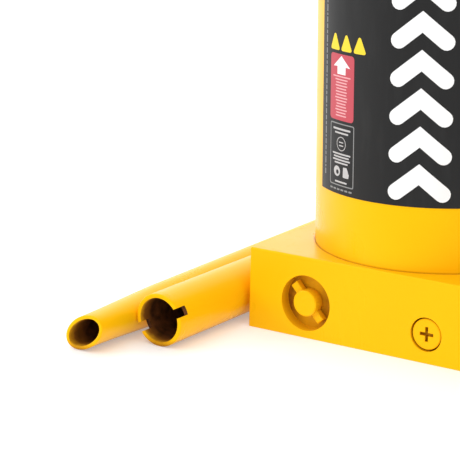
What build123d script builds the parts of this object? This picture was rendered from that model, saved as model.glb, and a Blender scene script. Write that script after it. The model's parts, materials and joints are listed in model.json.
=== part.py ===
from build123d import *
import os
from math import atan, cos, degrees, radians, sin, sqrt, tan

# Hydraulic bottle jack of the 30 tonne class, with its two-piece pump handle lying beside it.
# Millimetres. +Z is up. The origin is on the ram's axis, at the underside of the base.
# +X runs along the base towards the pump. The front, at -Y, holds the release and overload valves.
# The jack is closed: the ram is down, the pump lever is on its low stop and every valve is shut.

# ---- fits ----
running = 0.06                   # radial clearance of every running fit
thread_gap = 0.05                # radial clearance shown at screwed and pushed-in joints
seat_gap = 0.05                  # between a shut ball and its seat
overcut = 1.0                    # how far a cutter runs past the face that it opens

# ---- base block ----
base_height = 40.2
base_left = -67.9
base_right = 125.0
base_half_width = 64.1
base_draft = 0.9                 # how much wider each side is at the floor
base_corner = 1.2
base_edge = 0.8
lug_left, lug_right, lug_top = 64.0, 77.0, 74.0    # the lug that the fulcrum plates are bolted to

# ---- reservoir and label ----
reservoir_radius = 60.5
reservoir_wall = 3.0
reservoir_top = 248.0
gasket = 1.2                     # thickness of the reservoir's two gaskets
foot_groove_depth = 3.0
foot_groove_gap = 0.2
label_low, label_high = 71.5, 225.0
label_from, label_to = -128.5, -4.0                # degrees round the reservoir, from +X
label_thick = 0.3
filler_turn, filler_height = 150.0, 215.0          # degrees round the reservoir, and height of the hole
filler_hole = 6.0
filler_flange = 9.0

# ---- cylinder and top nut ----
bore_radius = 38.0               # the ram's cylinder
cylinder_wall = 9.5
cylinder_floor = 30.0
cylinder_top = 240.0
cylinder_gasket_height = 1.0
nut_skirt_radius, nut_skirt_low = 55.0, 226.0
nut_flange_overhang = 1.0
hex_low, nut_top = 256.0, 272.0
nut_hex, nut_hex_clip = 104.0, 58.5                # across flats, and the radius its corners are turned to
nut_throat = 31.0
nut_lip = 32.0                   # the rib between the seal and the wiper
bush_low, bush_high, bush_outer = 241.0, 261.0, 34.0
seal_high, seal_outer = 266.0, 36.0
wiper_low, wiper_lip, wiper_lip_depth = 267.0, 4.0, 3.0

# ---- ram, piston and saddle ----
ram_radius = 30.0
ram_shank = 18.0                 # where the piston is held on
ram_shank_low = 36.0
piston_low, piston_high = 34.0, 59.0
piston_recess, piston_recess_top = 27.0, 44.0
piston_nut_hex, piston_nut_low = 44.0, 36.5
cup_low, cup_high, backup_high = 38.0, 44.0, 46.0
wear_low, wear_high, wear_bed = 50.0, 56.0, 36.0
ring_bed = 33.0
cup_slit_inner, cup_slit_outer, cup_slit_depth = 34.4, 36.6, 3.0
neck_radius, neck_top = 20.0, 279.5
snap_low, snap_high = 275.1, 276.9
snap_groove, snap_outer, snap_slit = 1.5, 21.4, 4.0
saddle_radius, saddle_rim = 31.0, 2.0
saddle_lift = 0.3                # clear of the top nut
saddle_socket_top = 280.0
saddle_groove, saddle_groove_depth, saddle_pitch = 2.4, 1.6, 9.0
closed_height = 285.0

# ---- pump ----
pump_x = 95.0
plunger_radius = 9.0
plunger_foot = 5.0               # above the barrel's floor
plunger_head = 8.5               # above its pin
barrel_floor, barrel_top = 25.0, 84.0
barrel_thread, barrel_radius = 13.0, 16.0
barrel_hex, barrel_hex_height = 33.0, 11.0
barrel_washer = 17.0
collar = 1.0                     # thickness of the barrel's gasket
packing_low, packing_bore = 74.0, 12.5
packing_pitch, packing_height, packing_rings = 2.0, 1.8, 3
gland_hex, gland_top = 30.0, 92.0

# ---- lever and fulcrum ----
lever_x, lever_z = 71.0, 117.0   # the fulcrum
lever_arm = 24.0                 # fulcrum to plunger, measured along X
lever_half_swing = 25.0          # degrees each side of level
pin_offset = 0.19                # splits the slot's play evenly between the two ends of the stroke
pin_radius = 5.0
plunger_pin_end, fulcrum_pin_end = 19.0, 25.0
clip_thick, clip_outer, clip_groove, clip_mouth = 1.2, 8.0, 0.7, 4.8
slot_half_width = 5.45
slot_run = 0.4                   # how far the slot runs past the pin at each end
cheek_inner, cheek_outer = 9.6, 15.3
cheek_boss, cheek_tip = 9.3, 10.0
cheek_root, cheek_root_radius = (117.0, 111.0), 14.5
plate_inner, plate_outer = 15.6, 21.6
plate_half_width, plate_lift = 9.0, 0.8
bolt_heights = (49.0, 65.0)
bolt_radius, bolt_hole, bolt_hex = 4.0, 4.2, 13.0
bolt_head, bolt_nut, bolt_end = 5.3, 6.5, 8.5
socket_start = (111.0, 111.3)    # x and z of the centre of the lever's socket, at its closed end
socket_droop = 4.0               # degrees below level at rest
socket_bore = 13.35
socket_outer = 16.5
socket_floor = 8.0
socket_length = 78.0

# ---- release valve ----
release_x, release_z = -35.7, 17.4
release_recess = 13.7
release_recess_floor = -59.0
release_head, release_head_front, release_head_back = 6.4, -65.7, -60.0
release_lug_front = -63.4
release_lug_tips = 22.7
release_lug_width = 4.1
release_lug_turn = 132.0         # degrees from +X towards +Z
release_stem, release_nose = 6.0, 3.5
release_shoulder = -41.5
release_bore_end, release_seat, release_passage_end = -20.0, -12.0, -3.0
release_contact = 0.08           # between the stem's nose and its ball
ring_front, ring_back, ring_groove = -52.0, -49.6, 4.6

# ---- overload valve ----
overload_x, overload_z = 30.4, 14.0
cover_plug_radius = 7.45
cover_plug_gap = 0.75
cover_plug_back = -57.0
cross_length, cross_width, cross_depth = 7.2, 1.7, 2.4
overload_bore, overload_seat, overload_seat_radius = 6.0, -14.0, 1.6
overload_passage_end = -6.0
adjuster_front, adjuster_back = -56.0, -48.0
adjuster_slot, adjuster_slot_depth = 1.6, 2.0
guide_flange, guide_flange_thick, guide_stem, guide_length = 5.4, 4.0, 2.6, 11.0
overload_coil, overload_wire = 4.1, 0.8

# ---- suction and delivery valves, and the drilled passages ----
passage = 2.5
overload_passage = 2.0
ball_radius = 4.0
small_ball_radius = 3.0
ball_play = 0.5
suction_z, suction_seat, suction_chamber = 10.0, 14.0, 5.5
cage_low, cage_radius, cage_hole, cage_circle = 23.0, 11.0, 1.4, 3.6
delivery_z, delivery_seat, delivery_chamber = 18.0, 20.0, 5.5
delivery_plug_back, delivery_thread, delivery_hex = 52.0, 7.0, 6.0
delivery_coil, delivery_wire, spring_gap = 3.2, 0.5, 2.7
coil_turns = 7
feed_x, feed_y = 20.0, 28.0      # where the pump's oil rises into the cylinder
drain_x, drain_y = -28.0, -4.0   # where the released oil leaves the cylinder
relief_y = -8.0                  # where the overload valve's oil leaves the cylinder
plug_radius, plug_depth, plug_hex, hex_depth = 4.5, 8.0, 4.0, 5.0
strainer_outer, strainer_inner, strainer_height, strainer_hole = 4.2, 3.4, 9.0, 0.8

# ---- pump handle ----
slotted_radius, slotted_bore = 13.0, 10.8
slotted_front, slotted_length = -115.4, 400.0
slotted_x, slotted_skew = -85.6, 0.013             # x of its axis at the front end, and x per y
slot_width, slot_length, slot_turn = 4.6, 6.4, 26.0
flat_radius, flat_wall = 9.4, 1.8
flat_front, flat_length = -142.0, 400.0
flat_x, flat_skew = -108.84, -0.011
flat_tip_x = -109.7
flat_tip_long, flat_tip_short = 12.05, 7.64        # the tip's outer half-sizes
flat_tip_turn, flat_fade = 32.2, 64.0
flat_sections = 6

# ---- sizes that follow ----
cylinder_radius = bore_radius + cylinder_wall
cylinder_foot = cylinder_floor + cylinder_gasket_height
reservoir_bore = reservoir_radius - reservoir_wall
annulus_middle = (cylinder_radius + reservoir_bore) / 2
groove_floor = base_height - foot_groove_depth
tube_foot = groove_floor + gasket
flange_low = reservoir_top + gasket
collar_low = base_height + collar
clip_face = cheek_outer + 0.3
pin_z = lever_z - lever_arm * tan(radians(lever_half_swing)) + pin_offset
seat_lift = sqrt(ball_radius ** 2 - passage ** 2) + seat_gap
overload_ball_y = overload_seat - sqrt(small_ball_radius ** 2 - overload_seat_radius ** 2) - seat_gap
guide_face = overload_ball_y - small_ball_radius
guide_back = guide_face - guide_flange_thick


# ---- small helpers ----
def bar(start, end, radius, inner=0.0):
    """A round bar from start to end, or a tube where inner is given."""
    start, end = Vector(*start), Vector(*end)
    face = Circle(radius) - Circle(inner) if inner else Circle(radius)
    return extrude(Plane(origin=start, z_dir=end - start) * face, (end - start).length)


def upright(radius, low, high, inner=0.0, x=0.0, y=0.0):
    """A bar or tube standing on Z."""
    return bar((x, y, low), (x, y, high), radius, inner)


def hexagon(across_flats, start, end, turn=0.0):
    """A hexagonal bar from start to end."""
    start, end = Vector(*start), Vector(*end)
    face = Rot(0, 0, turn) * RegularPolygon(across_flats / 2 / cos(radians(30)), 6)
    return extrude(Plane(origin=start, z_dir=end - start) * face, (end - start).length)


def coil(start, end, radius, wire):
    """An open helical spring whose wire stays between start and end."""
    start, end = Vector(*start), Vector(*end)
    height = (end - start).length - 2 * wire
    path = Helix(pitch=height / coil_turns, height=height, radius=radius)
    spring = sweep(Plane(origin=path @ 0, z_dir=path % 0) * Circle(wire), path=path)
    return Plane(origin=start + (end - start).normalized() * wire, z_dir=end - start) * spring


def box(x, y, z):
    """A block between pairs of limits."""
    size = (x[1] - x[0], y[1] - y[0], z[1] - z[0])
    return Pos((x[0] + x[1]) / 2, (y[0] + y[1]) / 2, (z[0] + z[1]) / 2) * Box(*size)


def plate(outline, front, back):
    """A flat outline drawn in X and Z, made solid between two places on Y."""
    drawing = Plane(origin=(0, back, 0), x_dir=(1, 0, 0), z_dir=(0, -1, 0))
    return extrude(drawing * outline, back - front)


def disc(centre, radius):
    return Pos(*centre) * Circle(radius)


def ball(centre, radius):
    return Pos(*centre) * Sphere(radius)


# ---- base block and its drillings ----
def valve_bores():
    """The stepped bores of the release and overload valves, cut from the front face."""
    beyond = -base_half_width - 2 * base_draft
    release = [
        (beyond, release_recess_floor, release_recess),
        (release_recess_floor, release_bore_end, release_stem + running),
        (release_bore_end, release_seat, ball_radius + ball_play),
        (release_seat, release_passage_end, passage)]
    overload = [
        (beyond, cover_plug_back, cover_plug_radius + cover_plug_gap),
        (cover_plug_back, overload_seat, overload_bore + thread_gap),
        (overload_seat, overload_passage_end, overload_seat_radius)]
    cuts = [release_bar(*step) for step in release]
    return cuts + [overload_bar(*step) for step in overload]


def release_bar(y_from, y_to, radius, inner=0.0):
    return bar((release_x, y_from, release_z), (release_x, y_to, release_z), radius, inner)


def overload_bar(y_from, y_to, radius, inner=0.0):
    return bar((overload_x, y_from, overload_z), (overload_x, y_to, overload_z), radius, inner)


def passages():
    """The drilled oil passages between reservoir, pump, cylinder and valves."""
    right = base_right + 2 * base_draft
    left = base_left - 2 * base_draft
    back = base_half_width + 2 * base_draft

    def over_annulus(x):
        return -sqrt(annulus_middle ** 2 - x ** 2)

    def along_y(y_from, y_to, radius):
        return bar((pump_x, y_from, delivery_z), (pump_x, y_to, delivery_z), radius)

    suction = [
        upright(passage, suction_z, base_height, x=annulus_middle),
        bar((annulus_middle, 0, suction_z), (right, 0, suction_z), passage),
        upright(passage, suction_z, suction_seat, x=pump_x),
        upright(suction_chamber, suction_seat, barrel_floor, x=pump_x)]
    delivery = [
        along_y(0, delivery_seat, passage), along_y(delivery_seat, delivery_plug_back, delivery_chamber),
        along_y(delivery_plug_back, back, delivery_thread),
        bar((feed_x, feed_y, overload_z), (right, feed_y, overload_z), passage),
        upright(passage, overload_z, cylinder_floor, x=feed_x, y=feed_y)]
    release = [
        bar((left, drain_y, release_z), (drain_x, drain_y, release_z), passage),
        upright(passage, release_z, cylinder_floor, x=drain_x, y=drain_y),
        upright(passage, release_z, base_height, x=release_x, y=over_annulus(release_x))]
    overload = [
        upright(overload_passage, overload_z, cylinder_floor, x=overload_x, y=relief_y),
        upright(passage, overload_z, base_height, x=overload_x, y=over_annulus(overload_x))]
    plugs = [bar(inner, outer, plug_radius) for inner, outer in plug_places(2 * base_draft)]
    return suction + delivery + release + overload + plugs


def plug_places(beyond=0.0):
    """Inner and outer ends of the three passage plugs."""
    right, left = base_right, base_left
    return [((right - plug_depth, 0, suction_z), (right + beyond, 0, suction_z)),
            ((right - plug_depth, feed_y, overload_z), (right + beyond, feed_y, overload_z)),
            ((left + plug_depth, drain_y, release_z), (left - beyond, drain_y, release_z))]


def base_block():
    length = base_right - base_left + 2 * base_draft
    width = 2 * (base_half_width + base_draft)
    outline = Pos((base_left + base_right) / 2, 0) * RectangleRounded(length, width, base_corner)
    block = extrude(outline, base_height, taper=degrees(atan(base_draft / base_height)))
    block = fillet(block.faces().sort_by(Axis.Z)[-1].edges(), base_edge)
    block = fillet(block.faces().sort_by(Axis.Z)[0].edges(), base_edge / 2)
    block += box((lug_left, lug_right), (-plate_inner, plate_inner), (groove_floor, lug_top))
    above = base_height + overcut
    seats = [
        upright(cylinder_radius, cylinder_floor, above),
        upright(reservoir_radius + foot_groove_gap, groove_floor, above, reservoir_bore - 0.1),
        upright(barrel_thread, barrel_floor, above, x=pump_x),
        upright(cage_radius, cage_low, barrel_floor, x=pump_x)]
    reach = plate_outer
    bolts = [bar((lever_x, -reach, z), (lever_x, reach, z), bolt_hole) for z in bolt_heights]
    for cut in seats + bolts + valve_bores() + passages():
        block -= cut
    return block


# ---- reservoir, cylinder and top nut ----
def reservoir_tube():
    tube = upright(reservoir_radius, tube_foot, reservoir_top, reservoir_bore)
    return tube - filler_axis(cylinder_radius, 1.2 * reservoir_radius, filler_hole)


def filler_axis(inner, outer, radius):
    """A bar along the filler hole's axis, between two distances from the ram's axis."""
    def place(distance):
        return distance * cos(radians(filler_turn)), distance * sin(radians(filler_turn)), filler_height

    return bar(place(inner), place(outer), radius)


def filler_plug():
    """A rubber plug with a flange, a pull and a hollow stem. Distances are from the ram's axis."""
    stem_end, flange_face = reservoir_bore - 3.5, reservoir_radius + 3.3
    plug = filler_axis(stem_end, reservoir_radius + 0.5, filler_hole - running)
    plug += filler_axis(reservoir_radius + 0.3, flange_face, filler_flange)
    plug += filler_axis(flange_face, flange_face + 2.2, filler_flange - 4.0)
    return plug - filler_axis(stem_end - overcut, stem_end + 4.0, filler_hole / 2)


def label():
    """A printed film round the front of the reservoir."""
    skin = upright(reservoir_radius + label_thick, label_low, label_high, reservoir_radius)
    corners = [(0, 0)]
    steps, reach = 6, 1.5 * reservoir_radius
    for step in range(steps + 1):
        turn = radians(label_from + (label_to - label_from) * step / steps)
        corners.append((reach * cos(turn), reach * sin(turn)))
    wedge = extrude(Plane.XY * make_face(Polyline(*corners, close=True)), label_high + overcut)
    return skin & wedge


def base_gasket():
    return upright(reservoir_radius, groove_floor, tube_foot, reservoir_bore)


def top_gasket():
    return upright(reservoir_radius, reservoir_top, flange_low, reservoir_bore)


def cylinder_gasket():
    return upright(cylinder_radius - thread_gap, cylinder_floor, cylinder_foot, bore_radius)


def pressure_cylinder():
    return upright(cylinder_radius - thread_gap, cylinder_foot, cylinder_top, bore_radius)


def top_nut():
    nut = upright(nut_skirt_radius, nut_skirt_low, cylinder_top)
    nut += upright(reservoir_bore - 0.2, cylinder_top - 4, flange_low)
    nut += upright(reservoir_radius + nut_flange_overhang, flange_low, hex_low)
    nut += hexagon(nut_hex, (0, 0, hex_low), (0, 0, nut_top)) & upright(nut_hex_clip, hex_low, nut_top)
    nut = chamfer(nut.edges().group_by(Axis.Z)[-1], 1.0)
    for radius, low, high in (
            (cylinder_radius, nut_skirt_low - overcut, cylinder_top),
            (nut_throat, cylinder_top - overcut, bush_low),
            (bush_outer + thread_gap, bush_low, bush_high), (seal_outer, bush_high, seal_high),
            (nut_lip, seal_high, wiper_low), (seal_outer, wiper_low, nut_top + overcut)):
        nut -= upright(radius, low, high)
    return nut


def ram_guide_bush():
    return upright(bush_outer, bush_low, bush_high, ram_radius + running)


def ram_seal():
    return upright(seal_outer - thread_gap, bush_high, seal_high, ram_radius + running)


def ram_wiper():
    inner = ram_radius + running
    ring = upright(seal_outer - thread_gap, wiper_low, nut_top, inner)
    return ring - Pos(0, 0, nut_top) * Cone(inner, ram_radius + wiper_lip, wiper_lip_depth)


# ---- ram and saddle ----
def ram_rod():
    rod = upright(ram_radius, piston_high, nut_top)
    rod = chamfer(rod.edges().group_by(Axis.Z)[-1], 1.0)
    rod += upright(ram_shank, ram_shank_low, piston_high) + upright(neck_radius, nut_top, neck_top)
    return rod - upright(neck_radius + overcut, snap_low, snap_high, neck_radius - snap_groove)


def piston_head():
    piston = upright(bore_radius - running, piston_low, piston_high, ram_shank + thread_gap)
    piston -= upright(piston_recess, piston_low, piston_recess_top)
    piston -= upright(bore_radius, cup_low, backup_high, ring_bed)
    return piston - upright(bore_radius, wear_low, wear_high, wear_bed)


def piston_cup_seal():
    cup = upright(bore_radius - running, cup_low, cup_high, ring_bed)
    return cup - upright(cup_slit_outer, cup_low, cup_low + cup_slit_depth, cup_slit_inner)


def piston_backup_ring():
    return upright(bore_radius - running, cup_high, backup_high, ring_bed)


def piston_wear_ring():
    return upright(bore_radius - running, wear_low, wear_high, wear_bed)


def piston_nut():
    nut = hexagon(piston_nut_hex, (0, 0, piston_nut_low), (0, 0, piston_recess_top))
    return nut - upright(ram_shank + thread_gap, ram_shank_low, piston_recess_top + overcut)


def saddle_snap_ring():
    ring = upright(snap_outer, snap_low, snap_high, neck_radius - snap_groove)
    half = snap_slit / 2
    return ring - box((0, ram_radius), (-half, half), (snap_low - overcut, snap_high + overcut))


def saddle():
    """A swivelling pad with a chequered top."""
    pad = upright(saddle_radius, nut_top + saddle_lift, closed_height)
    pad = chamfer(pad.edges().group_by(Axis.Z)[-1], saddle_rim)
    pad -= upright(neck_radius + running, nut_top, saddle_socket_top)
    pad -= upright(snap_outer + 0.4, snap_low - 0.4, snap_high + 0.4)
    half, reach = saddle_groove / 2, saddle_radius + overcut
    depth = (closed_height - saddle_groove_depth, closed_height + overcut)
    for i in range(6):
        offset = (i - 2.5) * saddle_pitch
        pad -= box((offset - half, offset + half), (-reach, reach), depth)
        pad -= box((-reach, reach), (offset - half, offset + half), depth)
    return pad


# ---- pump ----
def barrel_gasket():
    return upright(barrel_washer, base_height, collar_low, barrel_thread + thread_gap, x=pump_x)


def pump_barrel():
    hex_top = collar_low + barrel_hex_height
    barrel = upright(barrel_thread - thread_gap, barrel_floor, hex_top, x=pump_x)
    barrel += hexagon(barrel_hex, (pump_x, 0, collar_low), (pump_x, 0, hex_top), 30)
    barrel += upright(barrel_radius, hex_top, barrel_top, x=pump_x)
    barrel = chamfer(barrel.edges().group_by(Axis.Z)[-1], 1.0)
    barrel -= upright(plunger_radius + running, barrel_floor - overcut, packing_low, x=pump_x)
    return barrel - upright(packing_bore, packing_low, barrel_top + overcut, x=pump_x)


def pump_packing():
    inner, outer = plunger_radius + running, packing_bore - thread_gap
    lows = [packing_low + packing_pitch * i for i in range(packing_rings)]
    return Part() + [upright(outer, low, low + packing_height, inner, x=pump_x) for low in lows]


def gland_nut():
    foot = packing_low + packing_pitch * packing_rings - (packing_pitch - packing_height)
    nut = upright(packing_bore - thread_gap, foot, barrel_top + overcut, x=pump_x)
    head = hexagon(gland_hex, (pump_x, 0, barrel_top), (pump_x, 0, gland_top), 30)
    nut += head & upright(barrel_radius + 0.4, barrel_top, gland_top, x=pump_x)
    nut = chamfer(nut.edges().group_by(Axis.Z)[-1], 0.8)
    return nut - upright(plunger_radius + running, packing_low, gland_top + overcut, x=pump_x)


def pump_plunger():
    rod = upright(plunger_radius, barrel_floor + plunger_foot, pin_z + plunger_head, x=pump_x)
    rod = chamfer(rod.edges().group_by(Axis.Z)[-1], 2.0)
    reach = plunger_radius + overcut
    return rod - bar((pump_x, -reach, pin_z), (pump_x, reach, pin_z), pin_radius + thread_gap)


def grooved_pin(x, z, end, face):
    """A cross pin with a circlip groove just outside each face."""
    pin = bar((x, -end, z), (x, end, z), pin_radius)
    pin = chamfer(pin.edges().group_by(Axis.Y)[0] + pin.edges().group_by(Axis.Y)[-1], 0.6)
    for side in (-1, 1):
        near, far = side * face, side * (face + clip_thick)
        pin -= bar((x, near, z), (x, far, z), pin_radius + overcut, pin_radius - clip_groove)
    return pin


def circlips(x, z, face):
    """The two open clips in a pin's grooves."""
    clips = []
    for side in (-1, 1):
        near, far = side * face, side * (face + clip_thick)
        clip = bar((x, near, z), (x, far, z), clip_outer, pin_radius - clip_groove)
        depth = sorted((near - side * overcut, far + side * overcut))
        clips.append(clip - box((x - clip_mouth / 2, x + clip_mouth / 2), depth, (z - 1.5 * clip_outer, z)))
    return Part() + clips


def plunger_pin():
    return grooved_pin(pump_x, pin_z, plunger_pin_end, clip_face)


def plunger_circlips():
    return circlips(pump_x, pin_z, clip_face)


# ---- lever and fulcrum ----
def lever_point(distance):
    """The x and z at a distance from the fulcrum, along the lever at rest."""
    turn = radians(-lever_half_swing)
    return lever_x + distance * cos(turn), lever_z + distance * sin(turn)


def in_socket(distance):
    """A point on the socket's axis, at a distance from its closed end."""
    turn = radians(-socket_droop)
    return socket_start[0] + distance * cos(turn), 0.0, socket_start[1] + distance * sin(turn)


def handle_socket():
    """Two cheeks on the fulcrum and the plunger's pin, carrying the socket for the handle."""
    near = lever_point(lever_arm - slot_run)
    far = lever_point(lever_arm / cos(radians(lever_half_swing)) + slot_run)
    rounds = disc((lever_x, lever_z), cheek_boss) + disc(far, cheek_tip) + disc(cheek_root, cheek_root_radius)
    outline = make_hull(rounds.edges())
    outline -= disc((lever_x, lever_z), pin_radius + running)
    outline -= make_hull((disc(near, slot_half_width) + disc(far, slot_half_width)).edges())
    tube = bar(in_socket(0), in_socket(socket_length), socket_outer)
    tube = chamfer(tube.edges().sort_by(Axis.X)[-1], 0.8)
    lever = tube + plate(outline, cheek_inner, cheek_outer) + plate(outline, -cheek_outer, -cheek_inner)
    return lever - bar(in_socket(socket_floor), in_socket(socket_length + overcut), socket_bore)


def fulcrum_plate(front, back):
    low = base_height + plate_lift
    outline = Pos(lever_x, (low + lever_z) / 2) * Rectangle(2 * plate_half_width, lever_z - low)
    outline += disc((lever_x, lever_z), plate_half_width)
    outline -= disc((lever_x, lever_z), pin_radius + thread_gap)
    for z in bolt_heights:
        outline -= disc((lever_x, z), bolt_hole)
    return plate(outline, front, back)


def fulcrum_plate_front():
    return fulcrum_plate(-plate_outer, -plate_inner)


def fulcrum_plate_rear():
    return fulcrum_plate(plate_inner, plate_outer)


def fulcrum_pin():
    return grooved_pin(lever_x, lever_z, fulcrum_pin_end, plate_outer)


def fulcrum_circlips():
    return circlips(lever_x, lever_z, plate_outer)


def fulcrum_bolts():
    bolts = []
    for z in bolt_heights:
        face = (lever_x, -plate_outer, z)
        head = hexagon(bolt_hex, face, (lever_x, -plate_outer - bolt_head, z))
        bolts.append(head + bar(face, (lever_x, plate_outer + bolt_end, z), bolt_radius))
    return Part() + bolts


def fulcrum_nuts():
    nuts = []
    for z in bolt_heights:
        face, end = (lever_x, plate_outer, z), (lever_x, plate_outer + bolt_nut, z)
        nuts.append(hexagon(bolt_hex, face, end) - bar(face, end, bolt_radius + thread_gap))
    return Part() + nuts


# ---- valves ----
def suction_strainer():
    """A perforated cap over the suction passage, in the oil space."""
    top = base_height + strainer_height
    cap = upright(strainer_outer, base_height, top, x=annulus_middle)
    cap -= upright(strainer_inner, base_height - overcut, top - 1.0, x=annulus_middle)
    reach = strainer_outer + overcut
    for z in (base_height + strainer_height / 3, base_height + strainer_height * 2 / 3):
        cap -= bar((annulus_middle - reach, 0, z), (annulus_middle + reach, 0, z), strainer_hole)
        cap -= bar((annulus_middle, -reach, z), (annulus_middle, reach, z), strainer_hole)
    return cap


def suction_ball():
    return ball((pump_x, 0, suction_seat + seat_lift), ball_radius)


def suction_ball_cage():
    """A drilled disc that the pump barrel clamps over the suction ball."""
    cage = upright(cage_radius - thread_gap, cage_low, barrel_floor, x=pump_x)
    for i in range(3):
        turn = radians(90 + 120 * i)
        x, y = pump_x + cage_circle * cos(turn), cage_circle * sin(turn)
        cage -= upright(cage_hole, cage_low - overcut, barrel_floor + overcut, x=x, y=y)
    return cage


def delivery_ball():
    return ball((pump_x, delivery_seat + seat_lift, delivery_z), ball_radius)


def delivery_spring():
    start = (pump_x, delivery_seat + seat_lift + spring_gap, delivery_z)
    return coil(start, (pump_x, delivery_plug_back, delivery_z), delivery_coil, delivery_wire)


def delivery_plug():
    face = base_half_width
    radius = delivery_thread - thread_gap
    plug = bar((pump_x, delivery_plug_back, delivery_z), (pump_x, face, delivery_z), radius)
    key = hexagon(delivery_hex, (pump_x, face - hex_depth, delivery_z), (pump_x, face + overcut, delivery_z))
    return plug - key


def release_ball():
    return ball((release_x, release_seat - seat_lift, release_z), ball_radius)


def release_valve_stem():
    """The screw that holds the release ball shut, with two lugs for the slotted handle."""
    nose = release_seat - seat_lift - ball_radius - release_contact
    stem = release_bar(release_head_front, release_head_back, release_head)
    stem = chamfer(stem.edges().group_by(Axis.Y)[0], 0.5)
    stem += release_bar(release_head_back, release_shoulder, release_stem)
    stem += release_bar(release_shoulder, nose, release_nose)
    lugs = Rot(0, 0, release_lug_turn) * Rectangle(release_lug_tips, release_lug_width)
    lugs = plate(Pos(release_x, release_z) * lugs, release_lug_front, release_head_back)
    lugs = chamfer(lugs.edges().group_by(Axis.Y)[0], 0.4)
    return stem + lugs - release_bar(ring_front, ring_back, release_stem + overcut, ring_groove)


def release_o_ring():
    return release_bar(ring_front, ring_back, release_stem, ring_groove)


def overload_ball():
    return ball((overload_x, overload_ball_y, overload_z), small_ball_radius)


def overload_ball_guide():
    flange = overload_bar(guide_back, guide_face, guide_flange)
    return flange + overload_bar(guide_face - guide_length, guide_back, guide_stem)


def overload_spring():
    start, end = (overload_x, guide_back, overload_z), (overload_x, adjuster_back, overload_z)
    return coil(start, end, overload_coil, overload_wire)


def overload_adjuster():
    screw = overload_bar(adjuster_front, adjuster_back, overload_bore)
    slot = Pos(overload_x, overload_z) * Rectangle(2 * overload_bore + overcut, adjuster_slot)
    return screw - plate(slot, adjuster_front - overcut, adjuster_front + adjuster_slot_depth)


def overload_cover_plug():
    """The plug seen in the front face, with a cross recess."""
    plug = overload_bar(-base_half_width, cover_plug_back, cover_plug_radius)
    plug = chamfer(plug.edges().group_by(Axis.Y)[0], 0.4)
    cross = Rectangle(cross_length, cross_width) + Rectangle(cross_width, cross_length)
    cross = Pos(overload_x, overload_z) * cross
    return plug - plate(cross, -base_half_width - overcut, -base_half_width + cross_depth)


def passage_plugs():
    plugs = []
    for inner, outer in plug_places():
        inner, outer = Vector(*inner), Vector(*outer)
        inward = (inner - outer).normalized()
        plug = bar(inner, outer, plug_radius - thread_gap)
        plugs.append(plug - hexagon(plug_hex, outer + inward * plug_hex, outer - inward))
    return Part() + plugs


# ---- pump handle ----
def slotted_axis(distance):
    """A point on the slotted tube's axis, at a distance along Y from its front end."""
    return slotted_x + slotted_skew * distance, slotted_front + distance, slotted_radius


def handle_tube_slotted():
    tube = bar(slotted_axis(0), slotted_axis(slotted_length), slotted_radius, slotted_bore)
    slot = Rot(0, 0, slot_turn) * Rectangle(4 * slotted_radius, slot_width)
    slot = Pos(slotted_x, slotted_radius) * slot
    return tube - plate(slot, slotted_front - overcut, slotted_front + slot_length)


def flat_section(distance, inset):
    """The flattened tube's outline at a distance from its front end, drawn inset from the outside."""
    fade = min(distance / flat_fade, 1.0)
    flatness = 1 - fade * fade * (3 - 2 * fade)
    long = flat_radius + (flat_tip_long - flat_radius) * flatness - inset
    short = flat_radius + (flat_tip_short - flat_radius) * flatness - inset
    x = flat_x + flat_skew * distance + (flat_tip_x - flat_x) * flatness
    face = Circle(long) if flatness == 0 else Ellipse(long, short)
    place = Plane(origin=(x, flat_front + distance, flat_radius), x_dir=(1, 0, 0), z_dir=(0, -1, 0))
    return place * (Rot(0, 0, flat_tip_turn) * face)


def handle_tube_flattened():
    """A slim tube whose front tip is squeezed to an oval."""
    steps = [flat_fade * i / flat_sections for i in range(flat_sections)] + [flat_fade, flat_length]
    solids = []
    for inset in (0.0, flat_wall):
        tip = loft([flat_section(distance, inset) for distance in steps[:-1]])
        solids.append(tip + loft([flat_section(distance, inset) for distance in steps[-2:]]))
    return solids[0] - solids[1]


nodes = [
    base_block, reservoir_tube, filler_plug, label, base_gasket, top_gasket, cylinder_gasket,
    pressure_cylinder, top_nut, ram_guide_bush, ram_seal, ram_wiper,
    ram_rod, piston_head, piston_cup_seal, piston_backup_ring, piston_wear_ring, piston_nut,
    saddle_snap_ring, saddle,
    barrel_gasket, pump_barrel, pump_packing, gland_nut, pump_plunger, plunger_pin, plunger_circlips,
    handle_socket, fulcrum_plate_front, fulcrum_plate_rear, fulcrum_pin, fulcrum_circlips,
    fulcrum_bolts, fulcrum_nuts,
    suction_strainer, suction_ball, suction_ball_cage, delivery_ball, delivery_spring, delivery_plug,
    release_ball, release_valve_stem, release_o_ring, overload_ball, overload_ball_guide,
    overload_spring, overload_adjuster, overload_cover_plug, passage_plugs,
    handle_tube_slotted, handle_tube_flattened]

os.makedirs("parts", exist_ok=True)
for node in nodes:
    export_step(node(), f"parts/{node.__name__}.step")
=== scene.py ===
import json
from math import cos, pi, radians, sin, tan

import bmesh
import bpy
from mathutils import Matrix, Vector

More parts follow.
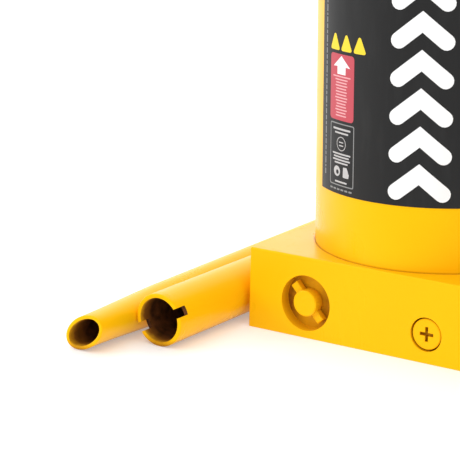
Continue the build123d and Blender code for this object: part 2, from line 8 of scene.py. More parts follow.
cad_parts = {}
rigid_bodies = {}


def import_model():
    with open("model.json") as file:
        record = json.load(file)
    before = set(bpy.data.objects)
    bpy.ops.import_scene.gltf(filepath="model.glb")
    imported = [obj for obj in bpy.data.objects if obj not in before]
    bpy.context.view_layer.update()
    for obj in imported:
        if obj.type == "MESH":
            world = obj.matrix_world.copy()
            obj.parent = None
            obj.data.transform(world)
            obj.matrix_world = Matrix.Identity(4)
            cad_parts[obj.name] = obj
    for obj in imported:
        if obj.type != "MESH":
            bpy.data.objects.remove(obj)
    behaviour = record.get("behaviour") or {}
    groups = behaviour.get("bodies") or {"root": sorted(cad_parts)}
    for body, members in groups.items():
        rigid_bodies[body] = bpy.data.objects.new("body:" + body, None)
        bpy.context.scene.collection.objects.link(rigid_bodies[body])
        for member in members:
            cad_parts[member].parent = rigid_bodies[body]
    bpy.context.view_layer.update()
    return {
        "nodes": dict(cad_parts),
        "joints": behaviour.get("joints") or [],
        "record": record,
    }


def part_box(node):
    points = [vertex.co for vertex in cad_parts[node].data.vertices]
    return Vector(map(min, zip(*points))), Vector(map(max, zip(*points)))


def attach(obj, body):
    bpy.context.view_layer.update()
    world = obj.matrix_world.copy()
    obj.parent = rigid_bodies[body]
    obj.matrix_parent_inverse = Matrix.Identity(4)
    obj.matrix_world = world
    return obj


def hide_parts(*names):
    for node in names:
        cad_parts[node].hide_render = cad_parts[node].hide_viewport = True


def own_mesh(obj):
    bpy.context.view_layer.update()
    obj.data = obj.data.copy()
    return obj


# Looks for a hydraulic bottle jack and its two handle tubes. Metres, in the CAD model's frame:
# the ram's axis is Z, the underside of the base is z = 0 and the valves face -Y.
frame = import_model()
MM = 0.001

# ---- camera, light and floor ----
CAMERA_PLACE = (0.4472, -0.8179, 0.2962)
CAMERA_TILT, CAMERA_TURN = radians(74.83), radians(34.98)
CAMERA_LENS, CAMERA_SENSOR = 152.74, 36.0          # millimetres
SKY_STRENGTH = 1.0
FLOOR_REACH = 40.0
FLOOR_GLOW = 0.3

# Square soft boxes: name, place, aim, side and watts.
SOFT_BOXES = (
    ("overhead", (-0.1, 0.1, 1.7), (-0.1, 0.0, 0.0), 2.2, 11.0),
    ("back", (-0.9, 1.7, 1.0), (-0.05, 0.0, 0.1), 1.8, 7.0),
    ("key", (-1.5, -1.5, 0.8), (0.0, 0.0, 0.1), 0.7, 10.5))


def make_camera():
    data = bpy.data.cameras.new("camera")
    data.sensor_width = CAMERA_SENSOR
    data.lens = CAMERA_LENS
    camera = bpy.data.objects.new("camera", data)
    camera.location = CAMERA_PLACE
    camera.rotation_euler = (CAMERA_TILT, 0.0, CAMERA_TURN)
    bpy.context.scene.collection.objects.link(camera)
    bpy.context.scene.camera = camera


def make_light(name, place, aim, side, watts):
    """A square soft box at place, facing aim."""
    data = bpy.data.lights.new(name, "AREA")
    data.size = side
    data.energy = watts
    light = bpy.data.objects.new(name, data)
    light.location = place
    light.rotation_euler = (Vector(aim) - Vector(place)).to_track_quat("-Z", "Y").to_euler()
    bpy.context.scene.collection.objects.link(light)


def make_world():
    """An even white sky."""
    world = bpy.data.worlds.new("studio")
    world.use_nodes = True
    sky = world.node_tree.nodes["Background"].inputs
    sky["Color"].default_value = (1.0, 1.0, 1.0, 1.0)
    sky["Strength"].default_value = SKY_STRENGTH
    bpy.context.scene.world = world
    bpy.context.scene.view_settings.view_transform = "Standard"


def make_floor():
    mesh = bpy.data.meshes.new("floor")
    low, high = -FLOOR_REACH, FLOOR_REACH
    corners = [(low, low, 0), (high, low, 0), (high, high, 0), (low, high, 0)]
    mesh.from_pydata(corners, [], [(0, 1, 2, 3)])
    mesh.materials.append(floor_finish())
    floor = bpy.data.objects.new("floor", mesh)
    bpy.context.scene.collection.objects.link(floor)


# ---- material helpers ----
class Finish:
    """A Principled material, built by joining nodes to its sockets."""

    def __init__(self, name, color, roughness, metallic=0.0):
        self.material = bpy.data.materials.new(name)
        self.material.use_nodes = True
        self.tree = self.material.node_tree
        self.shader = self.tree.nodes["Principled BSDF"]
        self.constant("Base Color", (*color, 1.0))
        self.constant("Roughness", roughness)
        self.constant("Metallic", metallic)
        self.place = self.add("ShaderNodeTexCoord").outputs["Object"]

    def constant(self, socket, value):
        """Sets a shader socket that is the same all over the surface."""
        self.shader.inputs[socket].default_value = value

    def add(self, kind, values=(), **settings):
        """A new node. values are (input, number or output to join) pairs."""
        node = self.tree.nodes.new(kind)
        for name, value in settings.items():
            setattr(node, name, value)
        for socket, value in values:
            if isinstance(value, bpy.types.NodeSocket):
                self.tree.links.new(value, node.inputs[socket])
            else:
                node.inputs[socket].default_value = value
        return node

    def link(self, output, socket):
        self.tree.links.new(output, self.shader.inputs[socket])

    def stretched(self, scale):
        """The surface's place, scaled unevenly, for grain that runs one way."""
        return self.add("ShaderNodeMapping", [("Vector", self.place), ("Scale", scale)]).outputs[0]

    def along(self, axis):
        """The surface's place along X, Y or Z."""
        return self.add("ShaderNodeSeparateXYZ", [("Vector", self.place)]).outputs[axis]

    def away(self, centre, axis):
        """The distance from the line through centre that runs along X, Y or Z."""
        keep = Vector([0.0 if name == axis else 1.0 for name in "XYZ"])
        flat = self.add("ShaderNodeVectorMath", [(0, self.place), (1, keep)], operation="MULTIPLY")
        values = [(0, flat.outputs[0]), (1, keep * Vector(centre))]
        return self.add("ShaderNodeVectorMath", values, operation="DISTANCE").outputs["Value"]

    def noise(self, size, detail, place=None):
        """Soft mottling from 0 to 1 whose blotches are about size metres across."""
        values = [("Vector", place or self.place), ("Scale", 1.0 / size), ("Detail", detail)]
        return self.add("ShaderNodeTexNoise", values).outputs["Fac"]

    def math(self, operation, first, second=0.0, third=0.0):
        values = [(0, first), (1, second), (2, third)]
        return self.add("ShaderNodeMath", values, operation=operation).outputs[0]

    def between(self, value, low, high, to_low=0.0, to_high=1.0):
        """value, taken from low..high to to_low..to_high, with both ends held."""
        values = [("Value", value), ("From Min", low), ("From Max", high)]
        values += [("To Min", to_low), ("To Max", to_high)]
        return self.add("ShaderNodeMapRange", values).outputs[0]

    def mixed(self, share, first, second):
        """A colour between first and second. Either may be three numbers or an output."""
        node = self.add("ShaderNodeMix", [("Factor", share)], data_type="RGBA")
        for socket, color in ((6, first), (7, second)):
            if isinstance(color, bpy.types.NodeSocket):
                self.tree.links.new(color, node.inputs[socket])
            else:
                node.inputs[socket].default_value = (*color, 1.0)
        return node.outputs[2]

    def bump(self, height, depth, strength=1.0):
        """Relief of depth metres from a height of 0 to 1."""
        values = [("Height", height), ("Distance", depth), ("Strength", strength)]
        self.link(self.add("ShaderNodeBump", values).outputs["Normal"], "Normal")


# ---- paint ----
YELLOW, YELLOW_DEEP = (0.95, 0.51, 0.004), (0.92, 0.46, 0.003)
YELLOW_GLINT = (1.0, 0.55, 0.06)
# The browns of painted shade, in recesses, in creases and under the tubes.
BROWN, DARK_BROWN = (0.42, 0.15, 0.008), (0.16, 0.045, 0.005)
BORE_REACH = 12 * MM                               # how far into a bore its painted shade goes

RECESS_RADIUS, PLUG_SEAT_RADIUS = 13.7 * MM, 8.2 * MM
BASE_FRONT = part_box("base_block")[0].y
BASE_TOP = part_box("suction_strainer")[0].z         # the strainer stands on it
RESERVOIR_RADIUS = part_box("reservoir_tube")[1].x


def paint_finish(name, shade_masks=(), gloss=0.5, rub_depth=0.08):
    """Sprayed enamel with faint orange peel, thick and thin coats and a few fine rubs.

    The light that it reflects squarely is tinted like the pigment. Each shade mask is a function
    that adds a mask to the finish, and inside it the paint is turned brown as painted shade,
    mottled a little."""
    finish = Finish(name, YELLOW, 0.3)
    finish.constant("Specular Tint", (*YELLOW_GLINT, 1.0))
    finish.constant("Specular IOR Level", gloss)
    coat = finish.between(finish.noise(45 * MM, 2.0), 0.35, 0.65)
    color = finish.mixed(finish.math("MULTIPLY", coat, 0.3), YELLOW, YELLOW_DEEP)
    # Painted shade: inside each mask the paint goes brown, darker brown where it is strongest, and
    # a little patchy.
    shade_mottle = finish.between(finish.noise(3 * MM, 3.0), 0.3, 0.7, 0.85, 1.0)
    for shade_mask in shade_masks:
        share = finish.math("MULTIPLY", shade_mask(finish), shade_mottle)
        darkening = finish.mixed(finish.math("POWER", share, 3.0), BROWN, DARK_BROWN)
        color = finish.mixed(share, color, darkening)
    finish.link(color, "Base Color")
    rubs = finish.noise(4 * MM, 6.0, finish.stretched((1.0, 1.0, 0.12)))
    rough = finish.math("MULTIPLY_ADD", coat, 0.06, 0.26)
    rough = finish.math("MULTIPLY_ADD", finish.between(rubs, 0.56, 0.7), rub_depth, rough)
    finish.link(rough, "Roughness")
    finish.bump(finish.noise(1.6 * MM, 2.0), 0.01 * MM, 0.3)
    return finish.material


def in_bore(node, radius, mouth_y, depth, share, middle_share=None):
    """Painted shade in a bore round the line along Y through a CAD node's middle.

    It starts at mouth_y, is full at depth and ends at BORE_REACH. Straight above and below the
    line it has middle_share instead of share."""
    low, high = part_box(node)
    centre = (low + high) / 2

    def mask(finish):
        near = finish.between(finish.away(centre, "Y"), radius + 0.1 * MM, radius - 0.3 * MM)
        y, end = finish.along("Y"), mouth_y + BORE_REACH
        begun = finish.between(y, mouth_y, mouth_y + depth)
        unended = finish.between(y, end + 1 * MM, end)
        inside = finish.math("MULTIPLY", near, finish.math("MULTIPLY", begun, unended))
        if middle_share is None:
            return finish.math("MULTIPLY", inside, share)
        aside = finish.math("ABSOLUTE", finish.math("SUBTRACT", finish.along("X"), centre.x))
        shares = finish.between(aside, 0.2 * radius, 0.85 * radius, middle_share, share)
        return finish.math("MULTIPLY", inside, shares)
    return mask


def round_foot(radius, width, share):
    """Painted shade in the crease round the reservoir's foot, on the base, out to radius plus
    width.
    """
    def mask(finish):
        away = finish.away((0.0, 0.0, 0.0), "Z")
        return finish.between(away, radius + width, radius + 0.4 * width, 0.0, share)
    return mask


def below(height, soft, share):
    """Painted shade on everything lower than height, which fades out over soft above it."""
    def mask(finish):
        return finish.between(finish.along("Z"), height + soft, height, 0.0, share)
    return mask


def base_paint():
    mouth = BASE_FRONT + 0.7 * MM
    # Painted shade in the release valve's recess, darker to its sides, in the gap round the
    # overload plug and in the crease round the reservoir's foot.
    recess = in_bore("release_valve_stem", RECESS_RADIUS, mouth, 3.5 * MM, 1.0, 0.55)
    plug_seat = in_bore("overload_cover_plug", PLUG_SEAT_RADIUS, mouth, 0.6 * MM, 0.8)
    crease = round_foot(RESERVOIR_RADIUS, 1 * MM, 0.6)
    return paint_finish("base_enamel", [recess, plug_seat, crease])


def reservoir_paint():
    # Painted shade along the reservoir's foot, just above the base's top.
    return paint_finish("reservoir_enamel", [below(BASE_TOP + 0.3 * MM, 0.4 * MM, 0.4)])


def stem_paint():
    # Painted shade on the valve stem's side, deeper in the recess.
    shade = in_bore("release_valve_stem", RECESS_RADIUS + 0.3 * MM, BASE_FRONT, 5.5 * MM, 0.4)
    return paint_finish("stem_enamel", [shade])


def plug_paint():
    mouth = BASE_FRONT + 1.1 * MM
    # Painted shade in the plug's cross recess.
    cross = in_bore("overload_cover_plug", PLUG_SEAT_RADIUS, mouth, 0.9 * MM, 0.8)
    return paint_finish("plug_enamel", [cross])


def tube_paint():
    # Painted shade along the tubes' undersides, by the floor.
    return paint_finish("tube_enamel", [below(0.8 * MM, 4 * MM, 0.85)], 0.2, 0.02)


# ---- other finishes ----
MILL_SCALE, RUSTY_SCALE = (0.045, 0.014, 0.004), (0.17, 0.055, 0.014)
THIN_SPRAY, THICK_SPRAY = (0.35, 0.13, 0.008), (0.8, 0.40, 0.01)
INKS = {"white": (0.86, 0.86, 0.86), "yellow": (0.85, 0.63, 0.03), "red": (0.52, 0.07, 0.095),
        "pink": (0.75, 0.38, 0.40), "grey": (0.26, 0.26, 0.26), "silver": (0.5, 0.49, 0.49)}


def tube_inside(name, mouth_y, reach):
    """Dark mill scale inside a tube, with overspray that fades about reach behind its mouth."""
    finish = Finish(name, DARK_BROWN, 0.6)
    finish.constant("Specular IOR Level", 0.2)
    patches = finish.noise(4 * MM, 4.0)
    scale = finish.mixed(finish.between(patches, 0.35, 0.7), MILL_SCALE, RUSTY_SCALE)
    wander = finish.math("MULTIPLY_ADD", finish.noise(3 * MM, 3.0), 0.5 * reach, finish.along("Y"))
    thin = finish.between(wander, mouth_y + 1.5 * reach, mouth_y + 0.3 * reach)
    thick = finish.between(wander, mouth_y + 0.7 * reach, mouth_y + 0.2 * reach, 0.0, 0.9)
    spray = finish.mixed(thin, scale, THIN_SPRAY)
    finish.link(finish.mixed(thick, spray, THICK_SPRAY), "Base Color")
    finish.link(finish.math("MULTIPLY_ADD", patches, 0.25, 0.5), "Roughness")
    finish.bump(finish.noise(1.2 * MM, 4.0), 0.08 * MM, 0.6)
    return finish.material


def metal(name, color, roughness, grain, depth=0.008 * MM, darkening=0.25):
    """Bare or plated metal with tool marks across grain, which scales X, Y and Z."""
    finish = Finish(name, color, roughness, 1.0)
    marks = finish.noise(2 * MM, 4.0, finish.stretched(grain))
    blotch = finish.between(finish.noise(12 * MM, 3.0), 0.35, 0.7)
    dull = tuple(0.6 * part for part in color)
    finish.link(finish.mixed(finish.math("MULTIPLY", blotch, darkening), color, dull), "Base Color")
    rough = finish.math("MULTIPLY_ADD", marks, 0.16, roughness - 0.08)
    finish.link(finish.math("MULTIPLY_ADD", blotch, 0.08, rough), "Roughness")
    finish.bump(marks, depth)
    return finish.material


def forged_steel():
    """Blackened forging with fine scale pits, rubbed a little brighter here and there."""
    finish = Finish("forged_steel", (0.05, 0.05, 0.055), 0.55, 0.7)
    pits = finish.noise(1.8 * MM, 6.0)
    rub = finish.between(finish.noise(3.5 * MM, 5.0), 0.45, 0.75, 0.0, 0.5)
    finish.link(finish.mixed(rub, (0.022, 0.022, 0.024), (0.12, 0.12, 0.125)), "Base Color")
    finish.link(finish.between(pits, 0.3, 0.7, 0.42, 0.68), "Roughness")
    finish.bump(pits, 0.09 * MM, 0.6)
    return finish.material


def soft_finish(name, color, roughness):
    """Moulded rubber or plastic with a fine grain and slight bloom."""
    finish = Finish(name, color, roughness)
    bloom = finish.between(finish.noise(9 * MM, 3.0), 0.4, 0.75, 0.0, 0.35)
    light = tuple(min(1.0, part * 1.6 + 0.02) for part in color)
    finish.link(finish.mixed(bloom, color, light), "Base Color")
    finish.link(finish.math("MULTIPLY_ADD", bloom, 0.25, roughness - 0.06), "Roughness")
    finish.bump(finish.noise(1.2 * MM, 3.0), 0.03 * MM, 0.7)
    return finish.material


def film_finish(name, color, gloss=0.25):
    """Printed vinyl: nearly even, with faint handling marks and the waviness of a stuck film."""
    roughness, wear = 0.34, 0.006
    finish = Finish(name, color, roughness)
    finish.constant("Specular IOR Level", gloss)
    marks = finish.noise(6 * MM, 5.0, finish.stretched((1.0, 1.0, 0.2)))
    smear = finish.between(marks, 0.5, 0.8)
    pale = tuple(part + wear * (1.0 - part) for part in color)
    finish.link(finish.mixed(smear, color, pale), "Base Color")
    finish.link(finish.math("MULTIPLY_ADD", smear, 0.05, roughness), "Roughness")
    finish.bump(finish.noise(11 * MM, 2.0), 0.012 * MM, 0.3)
    return finish.material


def floor_finish():
    """A lit white table: it glows a little, so that the object's shadow on it stays faint."""
    finish = Finish("studio_floor", (0.75, 0.75, 0.75), 0.6)
    finish.constant("Emission Color", (1.0, 1.0, 1.0, 1.0))
    finish.constant("Emission Strength", FLOOR_GLOW)
    cloud = finish.noise(0.3, 2.0)
    finish.link(finish.mixed(cloud, (0.74, 0.74, 0.735), (0.76, 0.76, 0.76)), "Base Color")
    return finish.material


def make_finishes():
    """Every finish by the name of the record's material slot that it stands for."""
    even, round_z, along_z = (1.0, 1.0, 1.0), (0.15, 0.15, 4.0), (4.0, 4.0, 0.12)
    return {
        "yellow_paint": paint_finish("yellow_enamel"),
        "label_film": film_finish("label_film", (0.004, 0.0038, 0.004), 0.3),
        "ram_chrome": metal("ram_chrome", (0.46, 0.47, 0.49), 0.16, along_z, 0.004 * MM, 0.1),
        "plain_steel": metal("plain_steel", (0.5, 0.5, 0.51), 0.34, round_z),
        "zinc_plate": metal("zinc_plate", (0.52, 0.54, 0.57), 0.32, even, 0.01 * MM, 0.35),
        "spring_steel": metal("spring_steel", (0.12, 0.12, 0.13), 0.38, even, 0.01 * MM, 0.3),
        "ball_steel": metal("ball_steel", (0.72, 0.72, 0.73), 0.12, even, 0.002 * MM, 0.08),
        "forged_steel": forged_steel(),
        "bronze": metal("bronze", (0.55, 0.34, 0.13), 0.32, round_z, 0.01 * MM, 0.3),
        "black_rubber": soft_finish("black_rubber", (0.018, 0.018, 0.018), 0.6),
        "amber_polyurethane": soft_finish("amber_polyurethane", (0.5, 0.2, 0.03), 0.4),
        "white_nylon": soft_finish("white_nylon", (0.75, 0.73, 0.68), 0.45),
    }


def dress_cad_nodes(finishes):
    """Gives each CAD node the finish of its material slot, or one of its own."""
    own = {"base_block": base_paint(), "reservoir_tube": reservoir_paint(),
           "release_valve_stem": stem_paint(), "overload_cover_plug": plug_paint()}
    for part in frame["record"]["subparts"]:
        node = frame["nodes"][part["node"]]
        finish = own.get(part["node"], finishes[part["material_slot"]])
        for place in node.material_slots:
            place.material = finish


# ---- mesh helpers ----
def new_piece(name, mesh, slot, body, *materials):
    piece = bpy.data.objects.new(name, mesh)
    bpy.context.scene.collection.objects.link(piece)
    for material in materials:
        mesh.materials.append(material)
    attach(piece, body)
    return piece


def smooth(mesh, sharp=35.0):
    """Shades mesh smooth, except across edges sharper than sharp degrees."""
    mesh.shade_smooth()
    mesh.set_sharp_from_angle(angle=radians(sharp))


def rework(mesh, change=None):
    """Runs change on a mesh opened for editing, then turns all its faces outward."""
    work = bmesh.new()
    work.from_mesh(mesh)
    if change:
        change(work)
    bmesh.ops.recalc_face_normals(work, faces=work.faces)
    work.to_mesh(mesh)
    work.free()


def close_ends(work):
    """Caps a tube's open ends."""
    bmesh.ops.holes_fill(work, edges=[edge for edge in work.edges if edge.is_boundary])


def final_mesh(thing):
    """An object's shape as a mesh, with its modifiers applied."""
    view = bpy.context.evaluated_depsgraph_get()
    return bpy.data.meshes.new_from_object(thing.evaluated_get(view))


def stacked_rings(name, rings, closed, inside=(0, 0)):
    """A mesh through rings of equally many points. closed joins the last ring to the first.

    The rows from inside[0] up to inside[1] have material 1."""
    count = len(rings[0])
    points = [point for ring in rings for point in ring]
    faces, slots = [], []
    last = len(rings) if closed else len(rings) - 1
    for row in range(last):
        here, after = row * count, (row + 1) % len(rings) * count
        for column in range(count):
            side = (column + 1) % count
            faces.append((here + column, after + column, after + side, here + side))
            slots.append(1 if inside[0] <= row < inside[1] else 0)
    mesh = bpy.data.meshes.new(name)
    mesh.from_pydata(points, [], faces)
    mesh.polygons.foreach_set("material_index", slots)
    rework(mesh)
    return mesh


# ---- handle tubes ----
RIM_STEPS, TUBE_SIDES, FADE_STEPS = 5, 128, 16


def tube_mesh(name, point, length, fade, wall, rim):
    """A tube with rounded rims, through point(distance, inset, angle). Material 1 is inside.

    Its rings are close together from the front mouth to fade, and sparse behind that."""
    stops = [0.75 * length, 0.5 * length, 0.3 * length]
    stops += [fade * (FADE_STEPS - i) / FADE_STEPS for i in range(FADE_STEPS)]
    stops = [distance for distance in stops if distance > rim]

    def rounding(end, inward):
        """A rim's outer quarter and inner quarter, as distances along the tube and insets."""
        turns = [radians(90) * i / RIM_STEPS for i in range(RIM_STEPS + 1)]
        outer = [(end + inward * rim * (1 - sin(t)), rim * (1 - cos(t))) for t in turns]
        return outer, [(distance, wall - inset) for distance, inset in reversed(outer)]

    front_outer, front_inner = rounding(0.0, 1)
    back_outer, back_inner = rounding(length, -1)
    path = [(distance, 0.0) for distance in stops] + front_outer + front_inner
    first_inside = len(path) - 1 - RIM_STEPS // 2
    path += [(distance, wall) for distance in reversed(stops)]
    last_inside = len(path)
    path += back_inner[::-1] + back_outer[::-1]
    angles = [2 * pi * i / TUBE_SIDES for i in range(TUBE_SIDES)]
    rings = [[point(*pair, angle) for angle in angles] for pair in path]
    return stacked_rings(name, rings, True, (first_inside, last_inside))


def slotted_tube(paint):
    """The thick tube, with the two slots in its front end that turn the release valve."""
    low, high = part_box("handle_tube_slotted")
    radius, bore, rim, fade = 13.0 * MM, 10.8 * MM, 0.6 * MM, 60 * MM
    end_gap = 0.1 * MM
    front, length = low.y + end_gap, high.y - low.y - 2 * end_gap
    x_front, x_back = low.x + radius, high.x - radius

    def point(distance, inset, angle):
        centre = x_front + (x_back - x_front) * distance / length
        return (centre + (radius - inset) * cos(angle), front + distance,
                radius + (radius - inset) * sin(angle))

    mesh = tube_mesh("slotted_handle_tube", point, length, fade, radius - bore, rim)
    inside = tube_inside("tube_scale", front, 7 * MM)
    piece = new_piece("slotted_handle_tube", mesh, "yellow_paint", "slotted_tube", paint, inside)
    cut_slots(piece, (x_front, front, radius), tube_inside("slot_scale", front, 3.5 * MM))
    smooth(piece.data)
    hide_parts("handle_tube_slotted")


def cut_slots(piece, mouth, inside):
    """Cuts two opposite slots, 26 degrees from level. inside is the finish of the cut faces."""
    width, depth, reach, turn = 4.6 * MM, 6.4 * MM, 20 * MM, radians(26)
    shape = Matrix.Diagonal((reach, depth, width / 2, 1.0))
    place = Matrix.Translation(mouth) @ Matrix.Rotation(-turn, 4, "Y") @ shape
    mesh = bpy.data.meshes.new("slot_cutter")
    rework(mesh, lambda work: bmesh.ops.create_cube(work, size=2.0, matrix=place))
    mesh.materials.append(inside)
    cutter = bpy.data.objects.new("slot_cutter", mesh)
    bpy.context.scene.collection.objects.link(cutter)
    cut = piece.modifiers.new("slots", "BOOLEAN")
    cut.operation, cut.object, cut.solver = "DIFFERENCE", cutter, "EXACT"
    cut.material_mode = "TRANSFER"
    cut_mesh = final_mesh(piece)
    piece.modifiers.clear()
    piece.data = cut_mesh
    bpy.data.objects.remove(cutter)


def flattened_tube(paint):
    """The slim tube, whose front tip is squeezed to an oval."""
    low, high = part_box("handle_tube_flattened")
    front, length = low.y, high.y - low.y
    radius, wall, rim = 9.4 * MM, 1.8 * MM, 0.5 * MM
    tip_x, body_x, skew = -109.7 * MM, -108.84 * MM, -0.011
    tip_long, tip_short, turn, fade = 12.05 * MM, 7.64 * MM, radians(32.2), 64 * MM

    def point(distance, inset, angle):
        share = min(max(distance, 0.0) / fade, 1.0)
        flat = 1 - share * share * (3 - 2 * share)
        long = radius + (tip_long - radius) * flat - inset
        short = radius + (tip_short - radius) * flat - inset
        centre = body_x + skew * distance + (tip_x - body_x) * flat
        a, b = long * cos(angle), short * sin(angle)
        return (centre + a * cos(turn) - b * sin(turn), front + distance,
                radius + a * sin(turn) + b * cos(turn))

    mesh = tube_mesh("flattened_handle_tube", point, length, fade, wall, rim)
    smooth(mesh)
    inside = tube_inside("slim_tube_scale", front, 10 * MM)
    piece = new_piece("flattened_handle_tube", mesh, "yellow_paint", "flattened_tube",
                      paint, inside)
    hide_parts("handle_tube_flattened")


# ---- springs ----
SPRING_WIRES = {"delivery_spring": 0.5 * MM, "overload_spring": 0.8 * MM}      # radii
COIL_TURNS, COIL_STEPS, WIRE_SIDES = 7, 40, 12


def coil_rings(low, high, wire):
    """Rings round the wire of a coil along Y that fills a box, with closer turns at both ends."""
    centre, radius = (low + high) / 2, (high.x - low.x) / 2 - wire
    length = high.y - low.y - 2 * wire
    rings = []
    for i in range(COIL_TURNS * COIL_STEPS + 1):
        share, turn = i / (COIL_TURNS * COIL_STEPS), 2 * pi * i / COIL_STEPS
        y = low.y + wire + length * (0.6 * share + 0.4 * share * share * (3 - 2 * share))
        ring = []
        for k in range(WIRE_SIDES):
            side = 2 * pi * k / WIRE_SIDES
            away = radius + wire * cos(side)
            ring.append((centre.x + away * cos(turn), y + wire * sin(side),
                         centre.z + away * sin(turn)))
        rings.append(ring)
    return rings


def valve_springs(steel):
    """Coil springs along Y, one for each spring that the record lets shorten towards its fixed end
    as its valve opens.
    """
    for joint in frame["joints"]:
        for rule in joint.get("deforming_nodes", []):
            node, fixed = rule["node"], rule["fixed_end_y_m"]
            low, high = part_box(node)
            mesh = stacked_rings(node + "_coil", coil_rings(low, high, SPRING_WIRES[node]), False)
            rework(mesh, close_ends)
            smooth(mesh, 60.0)
            piece = new_piece(node + "_coil", mesh, "spring_steel", joint["parent"], steel)
            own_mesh(piece)
            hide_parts(node)


# ---- outlines, in millimetres ----
def arc(centre, radius, start, end, steps):
    """Points round an arc, in degrees."""
    turns = [radians(start + (end - start) * i / steps) for i in range(steps + 1)]
    return [(centre[0] + radius * cos(t), centre[1] + radius * sin(t)) for t in turns]


def circle(centre, radius, sides):
    return arc(centre, radius, 0, 360 * (sides - 1) / sides, sides - 1)


def rounded(x, y, width, height, radius):
    """A rectangle with round corners, from its lower left corner."""
    left, right, low, high = x + radius, x + width - radius, y + radius, y + height - radius
    outline = []
    for i, centre in enumerate([(right, low), (right, high), (left, high), (left, low)]):
        outline += arc(centre, radius, 90 * (i - 1), 90 * i, 4)
    return outline


def bar(middle, low, length, thick, radius=0.2):
    """A level bar that stands for a line of text."""
    return rounded(middle - length / 2, low, length, thick, radius)


def turned(way, angle):
    """A 2-D vector turned anticlockwise."""
    return Matrix.Rotation(angle, 2) @ way


def blunted(corners, radius):
    """A polygon with its corners rounded. Its corners are given anticlockwise."""
    outline, steps = [], 4
    for i, corner in enumerate(corners):
        here = Vector(corner)
        to_last = (Vector(corners[i - 1]) - here).normalized()
        to_next = (Vector(corners[(i + 1) % len(corners)]) - here).normalized()
        half = to_last.angle(to_next) / 2
        centre = here + (to_last + to_next).normalized() * radius / sin(half)
        begin = here + to_last * radius / tan(half) - centre
        outline += [centre + turned(begin, (pi - 2 * half) * k / steps) for k in range(steps + 1)]
    return outline


def stroke(points, width):
    """A bent line with round ends."""
    points = [Vector(point) for point in points]
    runs = [(after - before).normalized() for before, after in zip(points, points[1:])]
    sides = {1: [], -1: []}
    for i, point in enumerate(points):
        for side in sides:
            normals = [Vector((-run.y, run.x)) * side for run in runs[max(i - 1, 0):i + 1]]
            normal = sum(normals, Vector((0, 0))).normalized()
            sides[side].append(point + normal * width / 2 / normal.dot(normals[0]))

    def cap(centre, begin):
        """The half circle round an end, past begin."""
        return [centre + turned(begin - centre, -pi * i / 8) for i in range(1, 8)]

    outline = sides[1] + cap(points[-1], sides[1][-1])
    return outline + sides[-1][::-1] + cap(points[0], sides[-1][0])


# ---- label ----
label_box_low, label_box_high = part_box("label")
LABEL_RADIUS, LABEL_LOW, LABEL_HIGH = -label_box_low.y, label_box_low.z, label_box_high.z
LABEL_FROM, LABEL_TO = -128.5, -4.0                # degrees round the reservoir, from +X
BOX_FROM, BOX_TO, BOX_LOW = -119.6, -102.6, 75.6   # the ruled box: degrees and millimetres
INK_THICK, FIRST_INK, SECOND_INK = 0.05, 0.03, 0.06    # thickness and lifts, in millimetres
BEND_STEP = 1.5                                    # millimetres between the folds that bend ink


def across(turn):
    """Millimetres round the label, from its left edge to turn degrees round the reservoir."""
    return radians(turn - LABEL_FROM) * LABEL_RADIUS / MM


def up(height):
    """Millimetres up the label, from its lower edge to a height over the floor in millimetres."""
    return height - LABEL_LOW / MM


def drawing(name, outlines):
    """A flat mesh of filled outlines, as thick as ink, in millimetres."""
    curve = bpy.data.curves.new(name, "CURVE")
    curve.dimensions, curve.fill_mode, curve.extrude = "2D", "BOTH", INK_THICK / 2
    for outline in outlines:
        spline = curve.splines.new("POLY")
        spline.points.add(len(outline) - 1)
        for place, (x, y) in zip(spline.points, outline):
            place.co = (x, y, 0.0, 1.0)
        spline.use_cyclic_u = True
    holder = bpy.data.objects.new(name + "_drawing", curve)
    bpy.context.scene.collection.objects.link(holder)
    mesh = final_mesh(holder)
    bpy.data.objects.remove(holder)
    return mesh


def printed(name, outlines, ink, lift=FIRST_INK):
    """Ink on the label. Outlines are in millimetres, x round it from its left edge and y up it."""
    def wrap(work):
        bmesh.ops.remove_doubles(work, verts=work.verts, dist=0.0005)
        reach = max(vertex.co.x for vertex in work.verts)
        for i in range(1, int(reach / BEND_STEP) + 1):
            everything = work.verts[:] + work.edges[:] + work.faces[:]
            bmesh.ops.bisect_plane(work, geom=everything, dist=1e-5,
                                   plane_co=(i * BEND_STEP, 0, 0), plane_no=(1, 0, 0))
        for vertex in work.verts:
            angle = radians(LABEL_FROM) + vertex.co.x * MM / LABEL_RADIUS
            out = LABEL_RADIUS + (lift + vertex.co.z) * MM
            vertex.co = (out * cos(angle), out * sin(angle), LABEL_LOW + vertex.co.y * MM)

    mesh = drawing(name, outlines)
    rework(mesh, wrap)
    mesh.materials.clear()
    smooth(mesh, 50.0)
    new_piece(name, mesh, "label_film", "base", ink)


def label_film(film):
    """The label's film, as thick as the CAD model's, with softly rounded edges."""
    thick, edge, columns = 0.3 * MM, 0.1 * MM, 127
    start, end = radians(LABEL_FROM), radians(LABEL_TO)

    def row(inset, depth):
        """The outline's points at an inset from the film's edges and a depth under its face."""
        margin, out = inset / LABEL_RADIUS, LABEL_RADIUS - depth
        sweep = end - start - 2 * margin
        turns = [start + margin + sweep * i / (columns - 1) for i in range(columns)]
        lower = [(out * cos(t), out * sin(t), LABEL_LOW + inset) for t in turns]
        upper = [(out * cos(t), out * sin(t), LABEL_HIGH - inset) for t in reversed(turns)]
        return lower + upper

    rows = [row(edge, thick), row(0.0, thick - edge), row(0.0, edge), row(edge, 0.0)]

    def close_faces(work):
        """Fills the first and the last row, the film's inner and outer faces."""
        work.verts.ensure_lookup_table()
        for level in (0, len(rows) - 1):
            first = level * 2 * columns
            last = first + 2 * columns - 1
            for i in range(columns - 1):
                corners = (first + i, first + i + 1, last - i - 1, last - i)
                work.faces.new([work.verts[corner] for corner in corners])

    mesh = stacked_rings("label_film", rows, False)
    rework(mesh, close_faces)
    smooth(mesh)
    piece = new_piece("label_film", mesh, "label_film", "base", film)
    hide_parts("label")


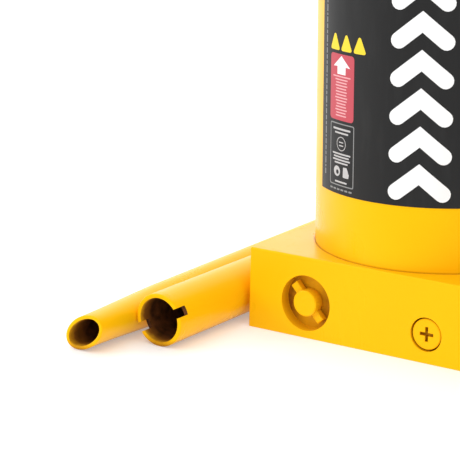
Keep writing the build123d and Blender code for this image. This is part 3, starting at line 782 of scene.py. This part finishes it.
def red_panel(inks):
    """A red panel with a white arrow, which points up the jack, over pale bars."""
    left, right = across(-120.1), across(-103.2)
    middle = (left + right) / 2
    printed("label_red_panel", [rounded(left, up(107.0), right - left, 31.3, 1.8)], inks["red"])

    tip, head, stem = up(137.5), 6.3, 3.1              # the arrow's tip and half widths
    half = [(head, tip - 5.25), (stem, tip - 5.0), (stem, tip - 8.7)]
    arrow = [(middle, tip)] + [(middle + x, y) for x, y in half]
    arrow += [(middle - x, y) for x, y in reversed(half)]
    printed("label_lift_arrow", [arrow], inks["white"], SECOND_INK)

    lengths = (13.2, 9.4, 8.2, 9.0, 7.6, 8.6, 8.0, 9.2, 8.4, 7.0, 7.8, 8.8, 7.2, 8.0)
    highest, pitch, thick = up(127.4), 1.42, 0.62
    bars = [bar(middle, highest - pitch * i, length, thick) for i, length in enumerate(lengths)]
    printed("label_red_panel_bars", bars, inks["pink"], SECOND_INK)


def yellow_marks(inks):
    """Three blunted triangles in a row."""
    low, base, height, pitch, radius = up(139.9), 8.2, 9.0, 8.7, 0.9
    marks = []
    for i in range(3):
        left = across(-120.5) + pitch * i
        corners = [(left, low), (left + base, low), (left + base / 2, low + height)]
        marks.append(blunted(corners, radius))
    printed("label_yellow_marks", marks, inks["yellow"])


def ruled_box(inks):
    """A thin frame round plain bars, a ring, a pierced disc and a block."""
    left, low = across(BOX_FROM), up(BOX_LOW)
    width, height, line = across(BOX_TO) - left, 30.0, 0.5
    border = [rounded(left, low, width, height, 1.0),
              rounded(left + line, low + line, width - 2 * line, height - 2 * line, 0.7)]
    printed("label_icon_frame", border, inks["grey"])

    middle = left + width / 2
    icons = [bar(middle, low + 26.8, width - 5.0, 0.9, 0.3),
             bar(middle, low + 25.0, width - 8.0, 0.8, 0.3)]
    icons += ring_icon((middle, low + 20.3))
    for i, length in enumerate((13.5, 11.5, 13.0, 10.0)):
        icons.append(bar(middle, low + 15.0 - 1.45 * i, length, 0.75, 0.25))
    icons += [circle((left + 6.0, low + 6.9), 2.5, 24), circle((left + 6.4, low + 6.5), 1.1, 12)]
    block = [(10.6, 4.4), (14.6, 4.4), (15.0, 6.6), (13.6, 7.0), (13.6, 9.4), (10.8, 9.4)]
    icons.append(blunted([(left + x, low + y) for x, y in block], 0.5))
    icons.append(bar(middle, low + 1.5, width - 9.0, 0.8, 0.3))
    printed("label_icons", icons, inks["silver"])


def ring_icon(centre):
    """A ring with two short strokes in it."""
    x, y = centre
    outer, inner, half, line = 3.4, 3.05, 1.4, 0.5
    strokes = [stroke([(x - half, y + rise), (x + half, y + rise)], line) for rise in (-0.9, 0.7)]
    return [circle(centre, outer, 24), circle(centre, inner, 24)] + strokes


def fine_bars(inks):
    """A column of dashes by the label's left edge, and a row of them under the ruled box."""
    lengths, gap, thick, radius = (2.6, 1.1, 3.4, 1.7, 2.2), 0.7, 0.85, 0.2
    bars, height = [], 79.0
    highest = LABEL_HIGH / MM - 6.0
    while height < highest:
        long = lengths[len(bars) % len(lengths)]
        bars.append(rounded(across(-124.6), up(height), thick, long, radius))
        height += long + gap
    row_left, pitch = across(BOX_FROM) + 0.4, 2.9
    bars += [rounded(row_left + pitch * i, up(73.4), 2.1, 0.8, radius) for i in range(6)]
    printed("label_fine_bars", bars, inks["grey"])


def chevrons(inks):
    """A column of thick chevrons, from the label's foot to its top."""
    left, low, width, pitch, line = across(-84.5), up(74.6), 30.0, 17.6, 7.6
    margin, end_rise, tip_rise = 4.0, 3.5, 12.5
    column = []
    for i in range(8):
        foot = low + pitch * i
        column.append(stroke([(left + margin, foot + end_rise), (left + width / 2, foot + tip_rise),
                              (left + width - margin, foot + end_rise)], line))
    printed("label_chevrons", column, inks["white"])


def label_print():
    """Generic marks where the real label has its name, capacity and texts."""
    inks = {name: film_finish("ink_" + name, color) for name, color in INKS.items()}
    red_panel(inks)
    yellow_marks(inks)
    ruled_box(inks)
    fine_bars(inks)
    chevrons(inks)


# ---- the whole ----
make_camera()
make_world()
for soft_box in SOFT_BOXES:
    make_light(*soft_box)
make_floor()
finishes = make_finishes()
dress_cad_nodes(finishes)
tube_enamel = tube_paint()
slotted_tube(tube_enamel)
flattened_tube(tube_enamel)
valve_springs(finishes["spring_steel"])
label_film(finishes["label_film"])
label_print()
